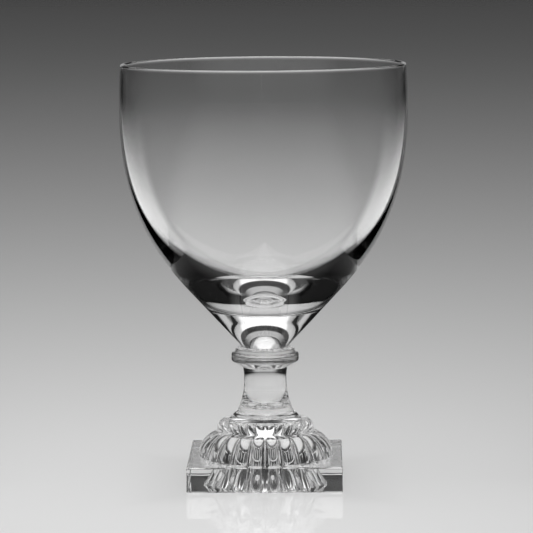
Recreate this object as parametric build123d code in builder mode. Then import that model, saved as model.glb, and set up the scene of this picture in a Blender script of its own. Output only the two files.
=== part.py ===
"""Water goblet in clear crystal: a blown bowl on a collar, a short stem and a pressed square foot.

Millimetres, +Z up. The origin is the middle of the foot's underside, where it stands on the table, and the
foot's sides face along X and Y. The four pieces stand on each other and meet at flat fused seams.
"""

import os
from math import cos, hypot, radians, sin

from build123d import *

# Foot, outside: a square plinth, a round dome on it, a round shoulder and a short cone up to the stem
plinth_side = 55.3
plinth_height = 9.1
plinth_round = 0.6
plinth_ledge = 3.4  # flat top between the dome and the plinth's side
dome_height = 8.1
dome_inset = 6.8  # how far the dome draws in from its base to the shoulder
shoulder_height = 4.4
shoulder_round = 3.4
shoulder_slope = 0.6  # rise of the shoulder's top towards the cone
shoulder_ledge = 4.5  # width of the shoulder's top
cone_height = 3.1
cone_round = 0.6

# Foot, inside: a hollow with flutes that run up to a small flat crown, parted by sharp arrises
flute_count = 16
flute_depth = 3.1
mouth_margin = 5.05  # flat underside between the plinth's side and the flutes
hollow_height = 17.7
mouth_rise = 6.5  # how far the hollow's wall climbs before it turns in
mouth_taper = 5.6  # how far the wall leans in over that climb
crown_radius = 3.2
crown_spread = 12.0  # length of the wall curve's level handle at the crown
hollow_levels = 8

# Stem: a short column that swells towards the foot, with a small lip under the collar
stem_height = 15.6
stem_radius = 7.65
stem_lip = 0.35  # how much wider its upper end is
lip_height = 3.5  # how far below the collar the lip starts
stem_flare = 2.3  # how much wider its lower end is
stem_straight = 4.0  # length of the curve's upright handle below the lip
flare_pull = 4.5  # length of the curve's handle at the flared end
flare_angle = 25.0  # lean of the flared end from upright, degrees

# Collar: a disc with a sloped underside and a rounded edge, and a smaller ring on it that carries the bowl
collar_radius = 12.1
collar_underside = 2.4  # rise of its lower face
collar_band = 2.8  # height of its edge
collar_round = 1.0
ring_inset = 1.5  # how far the ring stands back from the collar's edge
ring_slope = 0.3  # rise of the collar's top towards the ring
ring_band = 1.2  # height of the ring's edge
ring_top = 0.9  # rise of the ring's top towards the bowl
ring_groove = 0.25  # rounding where the ring stands on the collar
ring_round = 0.4

# Bowl, outside: a cone, a full curve up to the belly and a rim that is drawn in a little
bowl_height = 101.5
neck_radius = 8.4
bowl_cone_height = 21.0
bowl_cone_radius = 27.65
cone_pull = 27.9  # length of the curve's handle along the cone
belly_radius = 51.5
belly_pull = 27.3  # length of the curve's upright handle at the belly
belly_drop = 13.35  # belly's depth below the rim
rim_inset = 0.6

# Bowl, inside
rim_wall = 1.4
belly_wall = 1.4
bowl_floor = 18.3  # solid glass under the bowl's floor
floor_round = 36.0  # radius of the floor's curve
floor_slope = 30.0  # slope where the floor goes over into the wall, degrees
floor_pull = 26.8  # length of the inner curve's handle along that slope
inner_pull = 30.0  # length of the inner curve's upright handle at the belly

# Heights of the seams and of the foot's steps
plinth_half = plinth_side / 2
dome_radius = plinth_half - plinth_ledge
shoulder_radius = dome_radius - dome_inset
cone_radius = shoulder_radius - shoulder_ledge
seat_radius = stem_radius + stem_flare
top_radius = stem_radius + stem_lip
ring_radius = collar_radius - ring_inset
z_dome = plinth_height
z_crease = z_dome + dome_height
z_shoulder = z_crease + shoulder_height
z_cone = z_shoulder + shoulder_slope
z_stem = z_cone + cone_height
z_collar = z_stem + stem_height
z_edge = z_collar + collar_underside
z_step = z_edge + collar_band
z_ring = z_step + ring_slope
z_bowl = z_ring + ring_band + ring_top
z_rim = z_bowl + bowl_height

# Heights inside the bowl
z_belly = z_rim - belly_drop
z_floor = z_bowl + bowl_floor
belly_inner = belly_radius - belly_wall
rim_radius = belly_radius - rim_inset
rim_shoulder = z_rim - rim_wall / 2


def hollow_level(share):
    """Radius of the arrises and height, at a share of the way from the hollow's mouth to its crown.

    The wall follows a cubic curve that leaves the mouth steeply and reaches the crown level.
    """
    mouth_radius = plinth_half - mouth_margin - flute_depth
    corners = (
        (mouth_radius, 0),
        (mouth_radius - mouth_taper, mouth_rise),
        (crown_radius + crown_spread, hollow_height),
        (crown_radius, hollow_height),
    )
    rest = 1 - share
    weights = (rest**3, 3 * rest**2 * share, 3 * rest * share**2, share**3)
    radius = sum(weight * corner[0] for weight, corner in zip(weights, corners))
    height = sum(weight * corner[1] for weight, corner in zip(weights, corners))
    return radius, height, flute_depth * radius / mouth_radius


def around(radius, turns):
    """Point on a circle about the axis, a number of flutes round from the front."""
    angle = radians(360 * turns / flute_count - 90)
    return (radius * cos(angle), radius * sin(angle))


# Foot
with BuildPart() as foot:
    with BuildSketch():
        Rectangle(plinth_side, plinth_side)
    extrude(amount=plinth_height)
    fillet(foot.edges(), plinth_round)
    with BuildSketch(Plane.XZ):
        with BuildLine():
            shoulder = FilletPolyline(
                (seat_radius, z_stem),
                (cone_radius, z_cone),
                (shoulder_radius, z_shoulder),
                (shoulder_radius, z_crease),
                radius=[cone_round, shoulder_round],
            )
            TangentArc((dome_radius, z_dome), shoulder @ 1, tangent=(0, 1))
            Polyline((dome_radius, z_dome), (dome_radius, 0), (0, 0), (0, z_stem), (seat_radius, z_stem))
        make_face()
    revolve(axis=Axis.Z)
    for level in range(hollow_levels):
        arris, height, depth = hollow_level(level / (hollow_levels - 1))
        with BuildSketch(Plane.XY.offset(height)):
            with BuildLine():
                for flute in range(flute_count):
                    ThreePointArc(
                        around(arris, flute), around(arris + depth, flute + 0.5), around(arris, flute + 1)
                    )
            make_face()
    loft(mode=Mode.SUBTRACT)

# Stem
with BuildPart() as stem:
    with BuildSketch(Plane.XZ):
        with BuildLine():
            lean = radians(flare_angle)
            z_lip = z_collar - lip_height
            TangentArc((stem_radius, z_lip), (top_radius, z_collar), tangent=(0, 1))
            Bezier(
                (stem_radius, z_lip),
                (stem_radius, z_lip - stem_straight),
                (seat_radius - flare_pull * sin(lean), z_stem + flare_pull * cos(lean)),
                (seat_radius, z_stem),
            )
            Polyline((seat_radius, z_stem), (0, z_stem), (0, z_collar), (top_radius, z_collar))
        make_face()
    revolve(axis=Axis.Z)

# Collar
with BuildPart() as collar:
    with BuildSketch(Plane.XZ):
        with BuildLine():
            FilletPolyline(
                (top_radius, z_collar),
                (collar_radius, z_edge),
                (collar_radius, z_step),
                (ring_radius, z_ring),
                (ring_radius, z_ring + ring_band),
                (neck_radius, z_bowl),
                radius=[collar_round, collar_round, ring_groove, ring_round],
            )
            Polyline((neck_radius, z_bowl), (0, z_bowl), (0, z_collar), (top_radius, z_collar))
        make_face()
    revolve(axis=Axis.Z)

# Bowl
with BuildPart() as bowl:
    with BuildSketch(Plane.XZ):
        with BuildLine():
            z_cone_end = z_bowl + bowl_cone_height
            cone_run = bowl_cone_radius - neck_radius
            cone_length = hypot(cone_run, bowl_cone_height)
            Line((neck_radius, z_bowl), (bowl_cone_radius, z_cone_end))
            Bezier(
                (bowl_cone_radius, z_cone_end),
                (
                    bowl_cone_radius + cone_pull * cone_run / cone_length,
                    z_cone_end + cone_pull * bowl_cone_height / cone_length,
                ),
                (belly_radius, z_belly - belly_pull),
                (belly_radius, z_belly),
            )
            TangentArc((belly_radius, z_belly), (rim_radius, rim_shoulder), tangent=(0, 1))
            ThreePointArc(
                (rim_radius, rim_shoulder),
                (rim_radius - rim_wall / 2, z_rim),
                (rim_radius - rim_wall, rim_shoulder),
            )
            TangentArc((belly_inner, z_belly), (rim_radius - rim_wall, rim_shoulder), tangent=(0, 1))
            slope = radians(floor_slope)
            floor_edge = (floor_round * sin(slope), z_floor + floor_round * (1 - cos(slope)))
            Bezier(
                (belly_inner, z_belly),
                (belly_inner, z_belly - inner_pull),
                (floor_edge[0] + floor_pull * cos(slope), floor_edge[1] + floor_pull * sin(slope)),
                floor_edge,
            )
            TangentArc((0, z_floor), floor_edge, tangent=(1, 0))
            Polyline((0, z_floor), (0, z_bowl), (neck_radius, z_bowl))
        make_face()
    revolve(axis=Axis.Z)

foot.part.label = "foot"
stem.part.label = "stem"
collar.part.label = "collar"
bowl.part.label = "bowl"

os.makedirs("parts", exist_ok=True)
export_step(foot.part, "parts/foot.step")
export_step(stem.part, "parts/stem.step")
export_step(collar.part, "parts/collar.step")
export_step(bowl.part, "parts/bowl.step")
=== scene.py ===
"""Looks of the water goblet: clear crystal on a pale gloss table in a dark studio with one lit panel."""

from math import cos, pi, radians, sin

import bpy
import numpy as np
from mathutils import Matrix, Vector


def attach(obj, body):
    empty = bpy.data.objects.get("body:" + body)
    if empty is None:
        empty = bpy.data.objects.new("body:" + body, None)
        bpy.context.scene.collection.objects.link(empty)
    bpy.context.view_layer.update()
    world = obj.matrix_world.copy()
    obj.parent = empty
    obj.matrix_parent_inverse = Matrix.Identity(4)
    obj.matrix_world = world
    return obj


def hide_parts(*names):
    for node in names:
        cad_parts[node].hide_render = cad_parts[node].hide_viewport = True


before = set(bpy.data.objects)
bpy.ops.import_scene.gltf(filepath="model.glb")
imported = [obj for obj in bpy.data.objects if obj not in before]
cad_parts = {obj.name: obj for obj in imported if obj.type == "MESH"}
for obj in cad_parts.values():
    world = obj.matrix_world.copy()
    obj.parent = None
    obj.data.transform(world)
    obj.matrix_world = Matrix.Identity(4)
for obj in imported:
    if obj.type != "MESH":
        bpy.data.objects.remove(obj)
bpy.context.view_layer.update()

MM = 0.001

# Foot, outside (millimetres, as all sizes here)
PLINTH_SIDE = 55.3
PLINTH_HEIGHT = 9.1
PLINTH_ROUND = 0.6
PLINTH_LEDGE = 3.4  # flat top between the dome and the plinth's side
DOME_HEIGHT = 8.1
DOME_INSET = 6.8  # how far the dome draws in up to the shoulder
SHOULDER_HEIGHT = 4.4
SHOULDER_ROUND = 3.4
SHOULDER_SLOPE = 0.6  # rise of the shoulder's top towards the cone
SHOULDER_LEDGE = 4.5  # width of the shoulder's top
CONE_HEIGHT = 3.1
CONE_ROUND = 0.6
PLINTH_HALF = PLINTH_SIDE / 2
DOME_RADIUS = PLINTH_HALF - PLINTH_LEDGE
SHOULDER_RADIUS = DOME_RADIUS - DOME_INSET
CONE_RADIUS = SHOULDER_RADIUS - SHOULDER_LEDGE

# Foot, inside
FLUTES = 16
FLUTE_DEPTH = 3.1
MOUTH_MARGIN = 5.05  # flat underside between the plinth's side and the flutes
HOLLOW_HEIGHT = 17.7
MOUTH_RISE = 6.5  # how far the hollow's wall climbs before it turns in
MOUTH_TAPER = 5.6  # how far the wall leans in over that climb
CROWN_RADIUS = 3.2
CROWN_SPREAD = 12.0  # length of the wall curve's level handle at the crown
MOUTH_RADIUS = PLINTH_HALF - MOUTH_MARGIN - FLUTE_DEPTH

# Stem
STEM_HEIGHT = 15.6
STEM_RADIUS = 7.65
STEM_FLARE = 2.3  # how much wider its lower end is
STEM_LIP = 0.35  # how much wider its upper end is
LIP_HEIGHT = 3.5
STEM_STRAIGHT = 4.0  # length of the curve's upright handle below the lip
FLARE_PULL = 4.5  # length of the curve's handle at the flared end
FLARE_ANGLE = radians(25)
SEAT_RADIUS = STEM_RADIUS + STEM_FLARE
TOP_RADIUS = STEM_RADIUS + STEM_LIP

# Collar
COLLAR_RADIUS = 12.1
COLLAR_UNDERSIDE = 2.4  # rise of its lower face
COLLAR_BAND = 2.8  # height of its edge
COLLAR_ROUND = 1.0
RING_INSET = 1.5  # how far the ring stands back from the collar's edge
RING_SLOPE = 0.3  # rise of the collar's top towards the ring
RING_BAND = 1.2  # height of the ring's edge
RING_TOP = 0.9  # rise of the ring's top towards the bowl
RING_GROOVE = 0.25  # rounding where the ring stands on the collar
RING_ROUND = 0.4
RING_RADIUS = COLLAR_RADIUS - RING_INSET

# Bowl
BOWL_HEIGHT = 101.5
NECK_RADIUS = 8.4
BOWL_CONE_HEIGHT = 21.0
BOWL_CONE_RADIUS = 27.65
CONE_PULL = 27.9  # length of the curve's handle along the cone
BELLY_RADIUS = 51.5
BELLY_PULL = 27.3  # length of the curve's upright handle at the belly
BELLY_DROP = 13.35  # belly's depth below the rim
RIM_INSET = 0.6
RIM_WALL = 1.4
BELLY_WALL = 1.4
BOWL_FLOOR = 18.3  # solid glass under the bowl's floor
FLOOR_ROUND = 36.0  # radius of the floor's curve
FLOOR_SLOPE = radians(30)  # slope where the floor goes over into the wall
FLOOR_PULL = 26.8  # length of the inner curve's handle along that slope
INNER_PULL = 30.0  # length of the inner curve's upright handle at the belly

# Heights of the foot's steps and of the fused seams
Z_CREASE = PLINTH_HEIGHT + DOME_HEIGHT
Z_SHOULDER = Z_CREASE + SHOULDER_HEIGHT
Z_CONE = Z_SHOULDER + SHOULDER_SLOPE
Z_STEM = Z_CONE + CONE_HEIGHT
Z_COLLAR = Z_STEM + STEM_HEIGHT
Z_EDGE = Z_COLLAR + COLLAR_UNDERSIDE
Z_STEP = Z_EDGE + COLLAR_BAND
Z_RING = Z_STEP + RING_SLOPE
Z_BOWL = Z_RING + RING_BAND + RING_TOP
Z_RIM = Z_BOWL + BOWL_HEIGHT

# How finely the surfaces are drawn
AROUND = 256  # points round a turned piece
FLUTE_STEPS = 36  # points across a flute
CORNER_SPAN = 1.3  # degrees to each side of the plinth's corner that get more points
CORNER_STEPS = 13
ROUND_STEPS = 7  # rings over the plinth's rounded edge
CROWN_RINGS = 3
COLLAR_STEP = 0.5  # longest stretch between two rings of the collar, stem and foot
STEM_STEP = 0.8
FOOT_STEP = 0.7
FLAT_EDGE = 0.03  # a ring this close to a rounded edge keeps the face beyond flat (mm or share of the face)
FLAT_RINGS = (0.25, 0.5, 0.75, 1 - FLAT_EDGE)  # where the rings of a flat face lie between its edges
SHARP = radians(28)  # edges that turn by more than this stay crisp
SAME_POINT = 1e-6  # points closer than this are one
SAME_LEVEL = 1e-4  # a face this close to a seam's height lies on it
SAME_SIDE = 1e-9  # slack where a side of the plinth goes over into its corner

# Camera, from the rim's ellipse and the plinth's corners in the photograph
CAMERA_LENS = 196.93
CAMERA_SENSOR = 36.0
CAMERA_NEAR = 50.0  # nearest and farthest that it sees
CAMERA_FAR = 100000.0
CAMERA_DISTANCE = 1038.4
CAMERA_HEIGHT = 203.0
CAMERA_PITCH = radians(6.912)
CAMERA_AZIMUTH = radians(1.053)
CAMERA_PAN = radians(-0.040)
CAMERA_ROLL = radians(-0.397)

# How often light is followed through the glass and from one mirroring face to the next
LIGHT_BOUNCES = 32
MIRROR_BOUNCES = 16

# Crystal: its index, and how wide and how high the swells of its skin are
CRYSTAL_INDEX = 1.535
BLOWN_SWELL = 30.0
BLOWN_RISE = 0.004
PRESSED_SWELL = 6.0
PRESSED_RISE = 0.04
SWELL_DETAIL = 1.0

# Table: a round top, a hair below the foot
TABLE_GAP = 0.05
TABLE_RINGS = (200.0, 1000.0, 3000.0, 7000.0)
TABLE_AROUND = 96
TABLE_POLISH = 0.21  # share of its face that mirrors
TABLE_BLUR = 0.015

# Pool of light painted into the table's colour: levels are shares of white
POOL_LEVEL = 0.935
POOL_CENTRE = -100.0  # brightest place, in front of the goblet
POOL_REACH = 684.0  # distance at which it has fallen to half
POOL_FALL = 1.32  # power of that fall
POOL_WIDTH = 170.0  # half its width beside the goblet
POOL_SPREAD = 0.28  # how much that widens per length behind the goblet
POOL_OPENING = 1.2  # and in front of it
POOL_EDGE = 6.0  # power of the fall at its two sides
POOL_LEAN = 0.08  # how much brighter it is on the left
# Faint light painted onto the far table, so that its end doesn't go black
FAR_LIGHT_LEVEL = 0.022
FAR_LIGHT_START = 1600.0  # distances between which the painted far light comes up
FAR_LIGHT_END = 5600.0

# Painted light and shade on the table round and under the foot: levels are shares of the pool's light
SHADE_LEVEL = 0.93  # painted soft shade at the plinth's side
SHADE_WIDTH = 26.0
LEDGE_LEVEL = 1.45  # painted light under the flat border of the plinth
LEDGE_START = 0.8  # distances inside the plinth's side between which that ends
LEDGE_END = 0.2
SPOT_LEVEL = 1.4  # painted light in the spot and the front strip under the hollow
SPOT_DARK = 0.03  # painted dark between them
SPOT_RADIUS = 15.0
SPOT_FEATHER = 2.0
STRIP_EDGE = -15.5  # the front strip lies before this
STRIP_FEATHER = 1.5
SHADOW_RADIUS = 22.0  # reach of the spot, the strip and the dark
SHADOW_FEATHER = 2.0

# Soft light overhead, by how far a direction points up and to the side (0 to 1)
DOME_LEVEL = 1.0
DOME_START = 0.2
DOME_FALL = 1.3  # power of its fall from straight up
SIDE_LEVEL = 0.05
SIDE_START = 0.4
SIDE_END = 0.9

# Lit panel behind and glow along the horizon, by x / y and z / y as seen from the goblet
PANEL_NEAREST = 0.001  # least y, so that nothing is divided by zero
PANEL_EDGE = 0.38  # the panel's lower edge
PANEL_EDGE_FEATHER = 0.03
PANEL_MIDDLE = 0.38  # half the width of its brightest part
PANEL_MIDDLE_FEATHER = 0.04
PANEL_END = 0.85  # half its whole width
PANEL_END_FEATHER = 0.1
HIGH_MIDDLE = 1.3  # level of the panel in its middle and at its ends
HIGH_END = 0.65
GLOW_EDGE = 0.16  # the glow's upper edge
GLOW_EDGE_FEATHER = 0.015
GLOW_LEVEL = 0.45
GLOW_START = 0.2  # half widths between which the glow fades out
GLOW_END = 0.6
GAP_LEVEL = 0.02  # between the glow and the panel
DARK_LEVEL = 0.012  # everywhere else

# Lamp overhead
LAMP_LEVEL = 0.55
LAMP_ANGLE = radians(50)

# Glowing white cards with painted glow: the distance from the axis, then lengths from front to back and
# heights
CARD_ASIDE = 115.0
CARD_START = -12.0
CARD_FRONT = 24.0  # width of the feathered front edge
CARD_MIDDLE = 20.0  # where the back edge starts to fade, at the table
CARD_BACK = 20.0  # width of that fade
CARD_SLANT = 0.8  # how far the back edge runs back per height
CARD_END = 150.0
CARD_FADE = 55.0  # height from which it fades towards its top
CARD_HEIGHT = 135.0
# Strength of the cards' painted glow
CARD_LEVEL = 2.9

# Black flags, in the same way
FLAG_ASIDE = 33.0
FLAG_START = -34.0
FLAG_FRONT = 16.0
FLAG_END = 150.0
FLAG_FOOT = 26.0  # height of the feathered lower edge
FLAG_FADE = 62.0
FLAG_HEIGHT = 105.0

# Settings of a range that goes smoothly from its low to its high value
SMOOTH = {"interpolation_type": "SMOOTHSTEP"}


def cubic(start, pull, other_pull, end, count=60):
    """Points of a cubic curve: its four corners weighted by (1-t)^3, 3t(1-t)^2, 3t^2(1-t) and t^3."""
    t = np.linspace(0, 1, count)[:, None]
    corners = np.array([start, pull, other_pull, end], float)
    weights = np.hstack([(1 - t) ** 3, 3 * t * (1 - t) ** 2, 3 * t**2 * (1 - t), t**3])
    return weights @ corners


def straight(start, end, count=12):
    """Evenly spaced points from one place to another."""
    return np.linspace(np.array(start, float), np.array(end, float), count)


def upright_arc(start, end, count=40):
    """Arc of a circle that leaves start straight up and ends at end: its centre is level with start."""
    run, rise = end[0] - start[0], end[1] - start[1]
    radius = (run**2 + rise**2) / (2 * abs(run))
    angle = np.linspace(0, np.arctan2(rise, radius - abs(run)), count)
    across = start[0] + np.sign(run) * radius * (1 - np.cos(angle))
    return np.column_stack([across, start[1] + radius * np.sin(angle)])


def rounded(corners, radii, count=14):
    """Straight runs through corners, with each inner corner replaced by an arc that touches both its runs.

    The arc's centre lies on the corner's bisector, and its ends are radius / tan(half the corner) away.
    """
    corners = np.array(corners, float)
    runs = [corners[:1]]
    for before, corner, after, radius in zip(corners, corners[1:], corners[2:], radii):
        inward = (before - corner) / np.linalg.norm(before - corner)
        onward = (after - corner) / np.linalg.norm(after - corner)
        half = np.arccos(np.clip(inward @ onward, -1, 1)) / 2
        middle = corner + (inward + onward) / np.linalg.norm(inward + onward) * radius / np.sin(half)
        first = corner + inward * radius / np.tan(half) - middle
        last = corner + onward * radius / np.tan(half) - middle
        turn = np.linspace(0, 1, count)[:, None]
        opening = np.pi - 2 * half
        arc = (np.sin((1 - turn) * opening) * first + np.sin(turn * opening) * last) / np.sin(opening)
        runs.append(middle + arc)
    runs.append(corners[-1:])
    return np.vstack(runs)


def finer(profile, step):
    """The same line with points added along its long stretches, so that none is longer than step."""
    pieces = [
        straight(a, b, 1 + max(1, int(np.ceil(np.linalg.norm(b - a) / step))))[:-1]
        for a, b in zip(profile, profile[1:])
    ]
    return np.vstack([*pieces, profile[-1:]])


def without_repeats(profile):
    """The same line without points that repeat the one before."""
    keep = np.r_[True, np.linalg.norm(np.diff(profile, axis=0), axis=1) > SAME_POINT]
    return profile[keep]


def ring_quads(count, around):
    """Faces between each ring and the next, for rings of points numbered one after another round the axis."""
    here = np.arange(around)
    there = np.roll(here, -1)
    base = np.arange(count - 1)[:, None] * around
    corners = [base + here, base + there, base + around + there, base + around + here]
    return np.stack(corners, -1).reshape(-1, 4)


def closed_mesh(name, first, rings, last, materials, seams):
    """Closed piece over rings of points, ring after ring, with one point that closes each end.

    rings[i, j] is a point in millimetres, j running round the axis. Faces that lie flat at a seam's height
    take the second material.
    """
    count, around = rings.shape[:2]
    points = np.vstack([rings.reshape(-1, 3), first, last]) * MM
    here = np.arange(around)
    there = np.roll(here, -1)
    quads = ring_quads(count, around)
    top = (count - 1) * around
    start_fan = np.stack([np.full(around, count * around), there, here], -1)
    end_fan = np.stack([np.full(around, count * around + 1), top + here, top + there], -1)
    corner = points[np.vstack([quads[:, :3], quads[:, [0, 2, 3]], start_fan, end_fan])]
    if np.einsum("ij,ij->i", corner[:, 0], np.cross(corner[:, 1], corner[:, 2])).sum() < 0:
        quads, start_fan, end_fan = quads[:, ::-1], start_fan[:, ::-1], end_fan[:, ::-1]
    mesh = bpy.data.meshes.new(name)
    mesh.from_pydata(points.tolist(), [], quads.tolist() + start_fan.tolist() + end_fan.tolist())
    heights = [points[part, 2] / MM for part in (quads, start_fan, end_fan)]
    flat = np.concatenate([
        np.any([np.abs(z - seam).max(1) < SAME_LEVEL for seam in seams], axis=0) for z in heights
    ])
    for material in materials:
        mesh.materials.append(material)
    mesh.polygons.foreach_set("material_index", flat.astype(np.int32))
    mesh.polygons.foreach_set("use_smooth", np.ones(len(flat), bool))
    mesh.set_sharp_from_angle(angle=SHARP)
    mesh.update()
    piece = bpy.data.objects.new(name, mesh)
    bpy.context.scene.collection.objects.link(piece)
    return piece


def turned(name, profile, materials, seams):
    """Closed piece of revolution: each profile point (radius, height) carried round the axis.

    The profile starts and ends on the axis.
    """
    profile = without_repeats(profile)
    angle = np.arange(AROUND) * 2 * pi / AROUND
    radius, height = profile[1:-1, 0, None], profile[1:-1, 1, None]
    rings = np.stack(
        [radius * np.cos(angle), radius * np.sin(angle), np.broadcast_to(height, (len(height), AROUND))], -1
    )
    ends = [[[0, 0, profile[i, 1]]] for i in (0, -1)]
    return closed_mesh(name, ends[0], rings, ends[1], materials, seams)


def bowl_profile():
    """Bowl's outline from its seat out and up to the rim, then down the inside to the middle of its floor."""
    z_belly, z_floor = Z_RIM - BELLY_DROP, Z_BOWL + BOWL_FLOOR
    cone_end = np.array([BOWL_CONE_RADIUS, Z_BOWL + BOWL_CONE_HEIGHT])
    along = cone_end - [NECK_RADIUS, Z_BOWL]
    along /= np.linalg.norm(along)
    belly = np.array([BELLY_RADIUS, z_belly])
    inner = np.array([BELLY_RADIUS - BELLY_WALL, z_belly])
    lip = np.array([BELLY_RADIUS - RIM_INSET - RIM_WALL / 2, Z_RIM - RIM_WALL / 2])
    turn = np.linspace(0, pi, num=17)
    sweep = np.linspace(FLOOR_SLOPE, 0, num=40)
    floor = np.column_stack([FLOOR_ROUND * np.sin(sweep), z_floor + FLOOR_ROUND * (1 - np.cos(sweep))])
    rise = floor[0] + FLOOR_PULL * np.array([cos(FLOOR_SLOPE), sin(FLOOR_SLOPE)])
    return np.vstack([
        straight((0, Z_BOWL), (NECK_RADIUS, Z_BOWL)),
        straight((NECK_RADIUS, Z_BOWL), cone_end, count=30),
        cubic(cone_end, cone_end + CONE_PULL * along, belly - [0, BELLY_PULL], belly, count=90),
        upright_arc(belly, lip + [RIM_WALL / 2, 0], count=20),
        lip + RIM_WALL / 2 * np.column_stack([np.cos(turn), np.sin(turn)]),
        upright_arc(inner, lip - [RIM_WALL / 2, 0], count=20)[::-1],
        cubic(inner, inner - [0, INNER_PULL], rise, floor[0], count=130),
        floor,
    ])


def collar_profile():
    """Collar's outline: sloped underside, rounded edge and a smaller ring on top, between its two seams."""
    side = rounded(
        [(TOP_RADIUS, Z_COLLAR), (COLLAR_RADIUS, Z_EDGE), (COLLAR_RADIUS, Z_STEP), (RING_RADIUS, Z_RING),
         (RING_RADIUS, Z_RING + RING_BAND), (NECK_RADIUS, Z_BOWL)],
        [COLLAR_ROUND, COLLAR_ROUND, RING_GROOVE, RING_ROUND],
    )
    return finer(np.vstack([(0, Z_COLLAR), side, (0, Z_BOWL)]), COLLAR_STEP)


def stem_profile():
    """Stem's outline: level seat, a curve from the flared end to the upright column, and the lip's arc."""
    z_lip = Z_COLLAR - LIP_HEIGHT
    side = cubic(
        (SEAT_RADIUS, Z_STEM),
        (SEAT_RADIUS - FLARE_PULL * sin(FLARE_ANGLE), Z_STEM + FLARE_PULL * cos(FLARE_ANGLE)),
        (STEM_RADIUS, z_lip - STEM_STRAIGHT),
        (STEM_RADIUS, z_lip),
    )
    lip = upright_arc((STEM_RADIUS, z_lip), (TOP_RADIUS, Z_COLLAR), count=12)
    return finer(np.vstack([(0, Z_STEM), side, lip, (0, Z_COLLAR)]), STEM_STEP)


def square_reach(angle, half, corner):
    """Distance from the axis to the edge of a square with rounded corners, by angle.

    Along a side it is half / cos(angle). At a corner it is where the ray meets the corner's circle.
    """
    fold = np.abs((angle + pi / 4) % (pi / 2) - pi / 4)
    flat = half / np.cos(fold)
    inset = half - corner
    spread = np.maximum(corner**2 - inset**2 * (1 - np.sin(2 * fold)), 0)
    bend = inset * (np.cos(fold) + np.sin(fold)) + np.sqrt(spread)
    return np.where(np.tan(fold) * half <= inset + SAME_SIDE, flat, bend)


def foot_angles():
    """Angles round the foot: even steps within each flute, and a few more at the plinth's rounded corners."""
    even = np.arange(FLUTES * FLUTE_STEPS) * 2 * pi / (FLUTES * FLUTE_STEPS)
    bend = np.linspace(-CORNER_SPAN, CORNER_SPAN, CORNER_STEPS)
    corners = np.radians((45 + 90 * np.arange(4))[:, None] + bend).ravel()
    return np.unique(np.round(np.concatenate([even, corners]), 9))


def hollow_rings(angle):
    """Rings of the fluted hollow, from its crown down to its mouth.

    The arrises follow a cubic curve. Between two arrises the wall bulges out as a parabola in the angle,
    1 - (2s)^2 of the flute's depth there, where s runs from -1/2 to 1/2 across the flute.
    """
    line = cubic(
        (MOUTH_RADIUS, 0),
        (MOUTH_RADIUS - MOUTH_TAPER, MOUTH_RISE),
        (CROWN_RADIUS + CROWN_SPREAD, HOLLOW_HEIGHT),
        (CROWN_RADIUS, HOLLOW_HEIGHT),
        count=48,
    )[::-1]
    across = ((angle + pi / 2) * FLUTES / (2 * pi)) % 1 - 0.5
    bulge = 1 - (2 * across) ** 2
    radius = line[:, :1] * (1 + FLUTE_DEPTH / MOUTH_RADIUS * bulge)
    return radius, np.broadcast_to(line[:, 1:], radius.shape)


def foot_rings(angle):
    """Radius and height of every ring of the foot: hollow, underside, plinth, dome, shoulder and seat."""
    rings = []

    def add(radius, height):
        radius = np.atleast_2d(radius)
        rings.append((radius, np.broadcast_to(np.reshape(height, (-1, 1)), radius.shape)))

    radius, height = hollow_rings(angle)
    share = np.linspace(0, 1, CROWN_RINGS + 2)[1:-1, None]
    add(radius[0] * share, np.full(CROWN_RINGS, HOLLOW_HEIGHT))
    rings.append((radius, height))
    inner_half = PLINTH_HALF - PLINTH_ROUND
    edge = square_reach(angle, inner_half, 0)
    share = np.array(FLAT_RINGS)[:, None]
    add(radius[-1] * (1 - share) + edge * share, np.zeros(len(share)))
    for turn in np.linspace(0, pi / 2, ROUND_STEPS):
        swell = PLINTH_ROUND * sin(turn)
        add(square_reach(angle, inner_half + swell, swell), PLINTH_ROUND * (1 - cos(turn)))
    side = square_reach(angle, PLINTH_HALF, PLINTH_ROUND)
    for height in (PLINTH_ROUND + FLAT_EDGE, PLINTH_HEIGHT - PLINTH_ROUND - FLAT_EDGE):
        add(side, height)
    for turn in np.linspace(pi / 2, pi, ROUND_STEPS):
        swell = PLINTH_ROUND * sin(turn)
        height = PLINTH_HEIGHT - PLINTH_ROUND - PLINTH_ROUND * cos(turn)
        add(square_reach(angle, inner_half + swell, swell), height)
    share = 1 - share[::-1]
    add(edge * (1 - share) + DOME_RADIUS * share, np.full(len(share), PLINTH_HEIGHT))
    dome = upright_arc((DOME_RADIUS, PLINTH_HEIGHT), (SHOULDER_RADIUS, Z_CREASE), count=30)
    shoulder = rounded(
        [(SHOULDER_RADIUS, Z_CREASE), (SHOULDER_RADIUS, Z_SHOULDER), (CONE_RADIUS, Z_CONE),
         (SEAT_RADIUS, Z_STEM)],
        [SHOULDER_ROUND, CONE_ROUND],
    )
    seat = straight((SEAT_RADIUS, Z_STEM), (0, Z_STEM), count=8)[1:-1]
    top = finer(without_repeats(np.vstack([dome, shoulder, seat])), FOOT_STEP)
    add(np.repeat(top[:, :1], len(angle), 1), top[:, 1])
    return np.vstack([r for r, _ in rings]), np.vstack([z for _, z in rings])


def make_foot(materials):
    """Foot: one closed surface over (ring, angle), from the hollow's crown out, round the plinth and up."""
    angle = foot_angles()
    radius, height = foot_rings(angle)
    rings = np.stack([radius * np.cos(angle), radius * np.sin(angle), height], -1)
    return closed_mesh(
        "foot_crystal", [[0, 0, HOLLOW_HEIGHT]], rings, [[0, 0, Z_STEM]], materials, [Z_STEM]
    )


def linear(code):
    """Linear colour of an sRGB hex value, by the standard curve."""
    srgb = np.array([int(code[i : i + 2], 16) for i in (0, 2, 4)]) / 255
    return (*np.where(srgb <= 0.04045, srgb / 12.92, ((srgb + 0.055) / 1.055) ** 2.4), 1.0)


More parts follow.
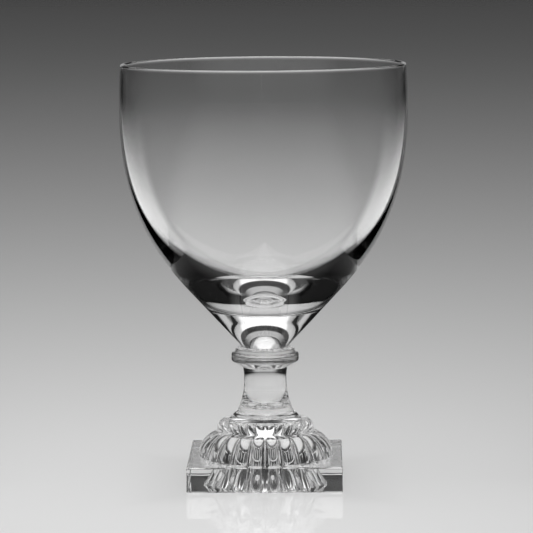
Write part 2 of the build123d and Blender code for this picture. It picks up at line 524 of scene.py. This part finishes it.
def node(tree, kind, settings=None, links=None):
    """Adds a node of that kind, sets its attributes and inputs, and links its inputs to other nodes.

    A link comes from an output, or from a node, whose first output it takes.
    """
    made = tree.nodes.new("ShaderNode" + kind)
    for key, value in (settings or {}).items():
        if isinstance(key, str) and hasattr(made, key):
            setattr(made, key, value)
        else:
            made.inputs[key].default_value = value
    for key, source in (links or {}).items():
        output = source.outputs[0] if isinstance(source, bpy.types.Node) else source
        tree.links.new(output, made.inputs[key])
    return made


def new_material(name):
    """An empty node material and its tree."""
    material = bpy.data.materials.new(name)
    material.use_nodes = True
    material.node_tree.nodes.clear()
    return material, material.node_tree


def crystal(name, swell, rise):
    """Clear crystal, fire-polished: colourless, with no haze and a higher index than window glass.

    It bends light strongly and goes dark at its edges. Its skin is faintly uneven, in swells of that width
    and rise. Light from the lamps and off the table passes it unbent.
    """
    material, tree = new_material(name)
    place = node(tree, "TexCoord").outputs["Object"]
    swells = node(tree, "TexNoise", {"Scale": 1 / (swell * MM), "Detail": SWELL_DETAIL}, {"Vector": place})
    skin = node(tree, "Bump", {"Distance": rise * MM}, {"Height": swells})
    body = node(tree, "BsdfPrincipled", {
        "Base Color": linear("FEFEFE"), "Roughness": 0.0, "IOR": CRYSTAL_INDEX, "Transmission Weight": 1.0,
    }, {"Normal": skin})
    path = node(tree, "LightPath")
    through = node(tree, "BsdfTransparent", {"Color": linear("F8F8F8")})
    lamps = node(tree, "MixShader", {}, {0: path.outputs["Is Shadow Ray"], 1: body, 2: through})
    bounce = node(tree, "MixShader", {}, {0: path.outputs["Is Diffuse Ray"], 1: lamps, 2: through})
    node(tree, "OutputMaterial", {}, {"Surface": bounce})
    return material


def fused_seam():
    """Where two pieces were fused hot there is no surface left inside the glass, so light passes unbent."""
    material, tree = new_material("fused_seam")
    clear = node(tree, "BsdfTransparent", {"Color": linear("FFFFFF")})
    node(tree, "OutputMaterial", {}, {"Surface": clear})
    return material


def pool_light(tree, place, x, y):
    """Light of the pool, painted into the table's colour.

    Along the view it falls as 1 / (1 + (distance / reach)^fall). To the sides it falls as
    1 / (1 + (offset / width)^edge), where the pool widens behind the goblet and in front of it, and it leans
    a little to one side. A faint painted haze of light keeps the far end from going black.
    """
    centre = {"operation": "DISTANCE", 1: (0, POOL_CENTRE * MM, 0)}
    away = node(tree, "VectorMath", centre, {0: place}).outputs["Value"]
    share = node(tree, "Math", {"operation": "DIVIDE", 1: POOL_REACH * MM}, {0: away})
    along = node(tree, "Math", {"operation": "POWER", 1: POOL_FALL}, {0: share})
    behind = node(tree, "Math", {"operation": "MULTIPLY", 1: POOL_SPREAD}, {0: y})
    before = node(tree, "Math", {"operation": "MULTIPLY", 1: -POOL_OPENING}, {0: y})
    wider = node(tree, "Math", {"operation": "MAXIMUM"}, {0: behind, 1: before})
    width = node(tree, "Math", {"operation": "ADD", 1: POOL_WIDTH * MM}, {0: wider})
    aside = node(tree, "Math", {"operation": "DIVIDE"}, {0: x, 1: width})
    offset = node(tree, "Math", {"operation": "ABSOLUTE"}, {0: aside})
    across = node(tree, "Math", {"operation": "POWER", 1: POOL_EDGE}, {0: offset})
    fall_along = node(tree, "Math", {"operation": "ADD", 1: 1.0}, {0: along})
    fall_across = node(tree, "Math", {"operation": "ADD", 1: 1.0}, {0: across})
    fall = node(tree, "Math", {"operation": "MULTIPLY"}, {0: fall_along, 1: fall_across})
    tilt = node(tree, "Math", {"operation": "MULTIPLY", 1: POOL_LEAN}, {0: aside})
    lean = node(tree, "Math", {"operation": "SUBTRACT", 0: POOL_LEVEL}, {1: tilt})
    pool = node(tree, "Math", {"operation": "DIVIDE"}, {0: lean, 1: fall})
    # The haze is faint light painted onto the far table
    rising = {**SMOOTH, 1: FAR_LIGHT_START * MM, 2: FAR_LIGHT_END * MM, 3: 0.0, 4: FAR_LIGHT_LEVEL}
    haze = node(tree, "MapRange", rising, {0: away})
    return node(tree, "Math", {"operation": "ADD"}, {0: pool, 1: haze})


def foot_light(tree, place, x, y):
    """How the foot changes the light painted on the table, as a factor.

    The foot's soft shade round the plinth is painted. Under the foot, painted light stands in for the light
    that
    the glass gathers: it is brighter under the plinth's flat border, and under the hollow it lies in a round
    spot in the middle and along the front, with painted dark between.
    """
    radius = node(tree, "VectorMath", {"operation": "LENGTH"}, {0: place}).outputs["Value"]
    to_side = node(tree, "Math", {"operation": "ABSOLUTE"}, {0: x})
    to_front = node(tree, "Math", {"operation": "ABSOLUTE"}, {0: y})
    square = node(tree, "Math", {"operation": "MAXIMUM"}, {0: to_side, 1: to_front})
    # Painted light and shade: spot, front strip, reach under the hollow, plinth's border, shade round it
    spot, strip, hollow, under, shade = (
        node(tree, "MapRange", {**SMOOTH, 1: start * MM, 2: end * MM, 3: within, 4: beyond}, {0: value})
        for value, start, end, within, beyond in (
            (radius, SPOT_RADIUS - SPOT_FEATHER, SPOT_RADIUS + SPOT_FEATHER, SPOT_LEVEL, SPOT_DARK),
            (y, STRIP_EDGE - STRIP_FEATHER, STRIP_EDGE + STRIP_FEATHER, SPOT_LEVEL, 0.0),
            (radius, SHADOW_RADIUS - SHADOW_FEATHER, SHADOW_RADIUS, 1.0, 0.0),
            (square, PLINTH_HALF - LEDGE_START, PLINTH_HALF - LEDGE_END, 1.0, 0.0),
            (square, PLINTH_HALF, PLINTH_HALF + SHADE_WIDTH, SHADE_LEVEL, 1.0),
        )
    )
    bright = node(tree, "Math", {"operation": "MAXIMUM"}, {0: spot, 1: strip})
    # Painted light that stands in for what the glass gathers under the foot
    painted_caustic = node(tree, "Mix", {2: LEDGE_LEVEL}, {0: hollow, 3: bright})
    floor = node(tree, "Mix", {2: 1.0}, {0: under, 3: painted_caustic})
    return node(tree, "Math", {"operation": "MULTIPLY"}, {0: shade, 1: floor})


def gloss_table():
    """Pale polished acrylic that mirrors the goblet softly, with a pool of light painted into its colour."""
    material, tree = new_material("gloss_table")
    place = node(tree, "TexCoord").outputs["Object"]
    axes = node(tree, "SeparateXYZ", {}, {0: place})
    x, y = axes.outputs["X"], axes.outputs["Y"]
    pool = pool_light(tree, place, x, y)
    foot = foot_light(tree, place, x, y)
    # The pool of light and the foot's light and shade are painted: they scale the table's colour
    level = node(tree, "Math", {"operation": "MULTIPLY"}, {0: pool, 1: foot})
    painted_light_colour = node(tree, "Mix", {"data_type": "RGBA", 6: linear("000000"), 7: linear("F4F4F4")}, {0: level})
    dull = node(tree, "BsdfDiffuse", {}, {"Color": painted_light_colour.outputs[2]})
    gloss = node(tree, "BsdfGlossy", {"Roughness": TABLE_BLUR})
    face = node(tree, "MixShader", {0: TABLE_POLISH}, {1: dull, 2: gloss})
    node(tree, "OutputMaterial", {}, {"Surface": face})
    return material


def make_table():
    """Round table top, a hair below the foot's underside: rings of points about the axis."""
    angle = np.arange(TABLE_AROUND) * 2 * pi / TABLE_AROUND
    radius = np.array(TABLE_RINGS)[:, None]
    level = np.full((len(TABLE_RINGS), TABLE_AROUND), -TABLE_GAP)
    points = np.stack([radius * np.cos(angle), radius * np.sin(angle), level], -1).reshape(-1, 3) * MM
    quads = ring_quads(len(TABLE_RINGS), TABLE_AROUND)[:, ::-1]
    mesh = bpy.data.meshes.new("table")
    mesh.from_pydata(points.tolist(), [], [list(range(TABLE_AROUND)), *quads.tolist()])
    mesh.materials.append(gloss_table())
    table = bpy.data.objects.new("table", mesh)
    bpy.context.scene.collection.objects.link(table)


def blurred_ray(tree, path):
    """1 for what the table's soft polish mirrors, 0 for what clear glass mirrors: glossy less singular."""
    rays = {0: path.outputs["Is Glossy Ray"], 1: path.outputs["Is Singular Ray"]}
    return node(tree, "Math", {"operation": "SUBTRACT"}, rays)


def make_light():
    """Studio: a soft light overhead, a broad lit panel behind, a glow along the horizon and dark walls.

    The overhead part is ((up - start) / (1 - start))^fall, dimmed towards the sides; it lights the table and
    isn't seen in the glass. The panel behind is flat: a direction meets it at x / y and z / y. It is bright
    above its lower edge, brightest in the middle, and fades out at its two ends. Below it is a dark gap, then
    the glow. The table's polish doesn't mirror the panel or the glow.
    """
    world = bpy.data.worlds.new("studio")
    bpy.context.scene.world = world
    world.use_nodes = True
    tree = world.node_tree
    tree.nodes.clear()

    way = node(tree, "TexCoord").outputs["Generated"]
    axes = node(tree, "SeparateXYZ", {}, {0: way})
    y, z = axes.outputs["Y"], axes.outputs["Z"]
    path = node(tree, "LightPath")
    aside = node(tree, "Math", {"operation": "ABSOLUTE"}, {0: axes.outputs["X"]})
    above = node(tree, "MapRange", {1: DOME_START, 2: 1.0, 3: 0.0, 4: 1.0}, {0: z})
    over = node(tree, "Math", {"operation": "POWER", 1: DOME_FALL}, {0: above})
    dimming = {**SMOOTH, 1: SIDE_START, 2: SIDE_END, 3: DOME_LEVEL, 4: SIDE_LEVEL}
    dimmed = node(tree, "MapRange", dimming, {0: aside})
    overhead = node(tree, "Math", {"operation": "MULTIPLY"}, {0: over, 1: dimmed})
    dome = node(tree, "Math", {"operation": "MULTIPLY"}, {0: overhead, 1: path.outputs["Is Diffuse Ray"]})

    depth = node(tree, "Math", {"operation": "MAXIMUM", 1: PANEL_NEAREST}, {0: y})
    run = node(tree, "Math", {"operation": "DIVIDE"}, {0: aside, 1: depth})
    rise = node(tree, "Math", {"operation": "DIVIDE"}, {0: z, 1: depth})
    high, low, middle, ends = (
        node(tree, "MapRange", {**SMOOTH, 1: edge - soft, 2: edge + soft, 3: within, 4: beyond}, {0: value})
        for value, edge, soft, within, beyond in (
            (rise, PANEL_EDGE, PANEL_EDGE_FEATHER, 0.0, 1.0),
            (rise, GLOW_EDGE, GLOW_EDGE_FEATHER, 1.0, 0.0),
            (run, PANEL_MIDDLE, PANEL_MIDDLE_FEATHER, 1.0, 0.0),
            (run, PANEL_END, PANEL_END_FEATHER, 1.0, 0.0),
        )
    )
    glow = node(tree, "MapRange", {**SMOOTH, 1: GLOW_START, 2: GLOW_END, 3: GLOW_LEVEL, 4: 0.0}, {0: run})
    lower = node(tree, "Math", {"operation": "MULTIPLY_ADD", 2: GAP_LEVEL}, {0: low, 1: glow})
    upper = node(tree, "Mix", {2: HIGH_END, 3: HIGH_MIDDLE}, {0: middle})
    panel = node(tree, "Mix", {}, {0: high, 2: lower, 3: upper})
    clear = node(tree, "Math", {"operation": "SUBTRACT", 0: 1.0}, {1: blurred_ray(tree, path)})
    shown = node(tree, "Math", {"operation": "MULTIPLY"}, {0: ends, 1: clear})
    behind = node(tree, "Math", {"operation": "MULTIPLY"}, {0: panel, 1: shown})
    brighter = node(tree, "Math", {"operation": "MAXIMUM"}, {0: dome, 1: behind})
    level = node(tree, "Math", {"operation": "ADD", 1: DARK_LEVEL}, {0: brighter})
    sky = node(tree, "Background", {"Color": linear("FFFFFF")}, {"Strength": level})
    node(tree, "OutputWorld", {}, {"Surface": sky})


def in_glass_only(tree, face):
    """Puts the face on the material where clear glass mirrors it; the table's polish doesn't show it."""
    path = node(tree, "LightPath")
    clear = node(tree, "BsdfTransparent", {"Color": linear("FFFFFF")})
    shown = node(tree, "MixShader", {}, {0: blurred_ray(tree, path), 1: face, 2: clear})
    node(tree, "OutputMaterial", {}, {"Surface": shown})


def glowing_card():
    """Glowing white card: its painted glow fades towards the top, the front and the slanted back edge."""
    material, tree = new_material("glowing_card")
    place = node(tree, "TexCoord").outputs["Object"]
    axes = node(tree, "SeparateXYZ", {}, {0: place})
    y, z = axes.outputs["Y"], axes.outputs["Z"]
    slope = node(tree, "Math", {"operation": "MULTIPLY", 1: CARD_SLANT}, {0: z})
    slant = node(tree, "Math", {"operation": "SUBTRACT"}, {0: y, 1: slope})
    upper, front, back = (
        node(tree, "MapRange", {**SMOOTH, 1: start * MM, 2: end * MM, 3: within, 4: beyond}, {0: value})
        for value, start, end, within, beyond in (
            (z, CARD_FADE, CARD_HEIGHT, CARD_LEVEL, 0.0),
            (y, CARD_START, CARD_START + CARD_FRONT, 0.0, 1.0),
            (slant, CARD_MIDDLE, CARD_MIDDLE + CARD_BACK, 1.0, 0.0),
        )
    )
    lengthwise = node(tree, "Math", {"operation": "MULTIPLY"}, {0: front, 1: back})
    level = node(tree, "Math", {"operation": "MULTIPLY"}, {0: upper, 1: lengthwise})
    in_glass_only(tree, node(tree, "Emission", {"Color": linear("FFFFFF")}, {"Strength": level}))
    return material


def flag_black():
    """Black felt that takes all light; its upper, lower and front edges are feathered."""
    material, tree = new_material("flag_black")
    place = node(tree, "TexCoord").outputs["Object"]
    axes = node(tree, "SeparateXYZ", {}, {0: place})
    y, z = axes.outputs["Y"], axes.outputs["Z"]
    upper, lower, front = (
        node(tree, "MapRange", {**SMOOTH, 1: start * MM, 2: end * MM, 3: within, 4: beyond}, {0: value})
        for value, start, end, within, beyond in (
            (z, FLAG_FADE, FLAG_HEIGHT, 0.0, 1.0),
            (z, 0.0, FLAG_FOOT, 1.0, 0.0),
            (y, FLAG_START, FLAG_START + FLAG_FRONT, 1.0, 0.0),
        )
    )
    level_edge = node(tree, "Math", {"operation": "MAXIMUM"}, {0: upper, 1: lower})
    edge = node(tree, "Math", {"operation": "MAXIMUM"}, {0: level_edge, 1: front})
    felt = node(tree, "BsdfDiffuse", {"Color": linear("0A0A0A")})
    clear = node(tree, "BsdfTransparent", {"Color": linear("FFFFFF")})
    in_glass_only(tree, node(tree, "MixShader", {}, {0: edge, 1: felt, 2: clear}))
    return material


def make_pair(name, material, aside, near, far, top):
    """Two upright sheets, one on each side of the goblet, that show only in what the glass mirrors."""
    mesh = bpy.data.meshes.new(name)
    corners = [(x, y, z) for x in (-aside, aside) for y in (near, far) for z in (0, top)]
    mesh.from_pydata((np.array(corners) * MM).tolist(), [], [(0, 2, 3, 1), (4, 5, 7, 6)])
    mesh.materials.append(material)
    pair = bpy.data.objects.new(name, mesh)
    pair.visible_camera = False
    pair.visible_diffuse = False
    pair.visible_shadow = False
    pair.visible_transmission = False
    bpy.context.scene.collection.objects.link(pair)


def make_cards():
    """Glowing white cards at the goblet's two sides, and low black flags close beside it."""
    make_pair("cards", glowing_card(), CARD_ASIDE, CARD_START, CARD_END, CARD_HEIGHT)
    make_pair("flags", flag_black(), FLAG_ASIDE, FLAG_START, FLAG_END, FLAG_HEIGHT)


def make_lamp():
    """Broad soft lamp high overhead that lights the table and casts the goblet's soft shadow."""
    lamp = bpy.data.lights.new("overhead", "SUN")
    lamp.energy = LAMP_LEVEL * pi
    lamp.angle = LAMP_ANGLE
    overhead = bpy.data.objects.new("overhead", lamp)
    overhead.visible_glossy = False
    overhead.visible_transmission = False
    bpy.context.scene.collection.objects.link(overhead)


def make_camera():
    """Camera where the photograph was taken from: level with a small tilt down, turn and roll."""
    yaw = CAMERA_AZIMUTH + CAMERA_PAN
    ahead = Vector((-sin(yaw) * cos(CAMERA_PITCH), cos(yaw) * cos(CAMERA_PITCH), -sin(CAMERA_PITCH)))
    right = Vector((cos(yaw), sin(yaw), 0))
    up = right.cross(ahead)
    across = right * cos(CAMERA_ROLL) + up * sin(CAMERA_ROLL)
    upward = up * cos(CAMERA_ROLL) - right * sin(CAMERA_ROLL)
    aside, before = sin(CAMERA_AZIMUTH) * CAMERA_DISTANCE, cos(CAMERA_AZIMUTH) * CAMERA_DISTANCE
    place = Vector((aside, -before, CAMERA_HEIGHT))
    lens = bpy.data.cameras.new("camera")
    lens.lens = CAMERA_LENS
    lens.sensor_width = CAMERA_SENSOR
    lens.clip_start = CAMERA_NEAR * MM
    lens.clip_end = CAMERA_FAR * MM
    camera = bpy.data.objects.new("camera", lens)
    turn = Matrix((across, upward, -ahead)).transposed().to_4x4()
    camera.matrix_world = Matrix.Translation(place * MM) @ turn
    bpy.context.scene.collection.objects.link(camera)
    bpy.context.scene.camera = camera


seam = fused_seam()
blown = [crystal("blown_crystal", BLOWN_SWELL, BLOWN_RISE), seam]
pressed = [crystal("pressed_crystal", PRESSED_SWELL, PRESSED_RISE), seam]
for piece, cad_node in (
    (turned("bowl_crystal", bowl_profile(), blown, [Z_BOWL]), "bowl"),
    (turned("collar_crystal", collar_profile(), pressed, [Z_COLLAR, Z_BOWL]), "collar"),
    (turned("stem_crystal", stem_profile(), pressed, [Z_STEM, Z_COLLAR]), "stem"),
    (make_foot(pressed), "foot"),
):
    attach(piece, "root")
    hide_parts(cad_node)

make_table()
make_light()
make_lamp()
make_cards()
make_camera()

scene = bpy.context.scene
scene.view_settings.view_transform = "Standard"
scene.cycles.max_bounces = LIGHT_BOUNCES
scene.cycles.transmission_bounces = LIGHT_BOUNCES
scene.cycles.glossy_bounces = MIRROR_BOUNCES
scene.cycles.transparent_max_bounces = LIGHT_BOUNCES
